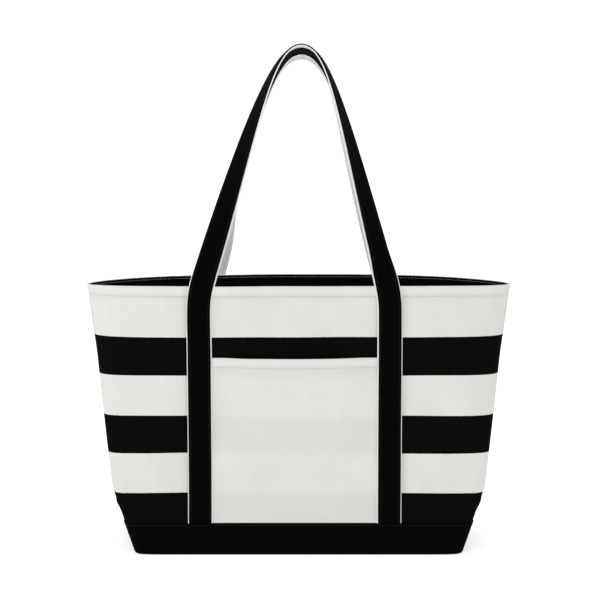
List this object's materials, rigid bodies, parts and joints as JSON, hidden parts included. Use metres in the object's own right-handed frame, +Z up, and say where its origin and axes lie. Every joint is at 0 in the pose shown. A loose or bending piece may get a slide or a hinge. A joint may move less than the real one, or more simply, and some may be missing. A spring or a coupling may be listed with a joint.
{
  "type": "canvas tote bag",
  "caption": "Boat-style canvas tote with a boxed base, an open mouth, a front slip pocket and two long shoulder straps that stand up above the mouth.",
  "frame": {"origin": "on the floor under the middle of the bag", "axes": "+Z up to the handles, +X across the bag to the right as seen from the front, +Y to the back; the pocket faces -Y"},
  "size_m": [0.5106, 0.1538, 0.6077],
  "materials": {
    "natural_canvas": "matt woven cotton canvas, natural white with woven black stripes",
    "black_canvas": "matt black cotton canvas",
    "black_strap": "matt black cotton strap",
    "strap_backing": "matt natural cotton strap",
    "black_lining": "plain black lining cloth"
  },
  "bodies": {
    "bag": {"base_boot": "black_canvas", "base_panel": "natural_canvas", "base_lining": "black_lining", "front_panel": "natural_canvas", "front_lining": "black_lining", "front_rim_band": "natural_canvas", "back_panel": "natural_canvas", "back_lining": "black_lining", "back_rim_band": "natural_canvas", "front_strap_left": "black_strap", "front_strap_right": "black_strap", "back_strap_left": "black_strap", "back_strap_right": "black_strap", "front_strap_backing_left": "strap_backing", "front_strap_backing_right": "strap_backing", "back_strap_backing_left": "strap_backing", "back_strap_backing_right": "strap_backing", "front_pocket": "natural_canvas", "pocket_hem_band": "natural_canvas"},
    "front_handle": {"front_handle_strap": "black_strap", "front_handle_backing": "strap_backing"},
    "back_handle": {"back_handle_strap": "black_strap", "back_handle_backing": "strap_backing"}
  },
  "joints": [
    {"name": "front_handle_swing", "type": "hinge", "parent": "bag", "child": "front_handle", "pos_m": [0, -0.0724, 0.324], "axis": [1, 0, 0], "range_deg": [0, 150]},
    {"name": "back_handle_swing", "type": "hinge", "parent": "bag", "child": "back_handle", "pos_m": [0, 0.0657, 0.324], "axis": [-1, 0, 0], "range_deg": [0, 150]}
  ]
}
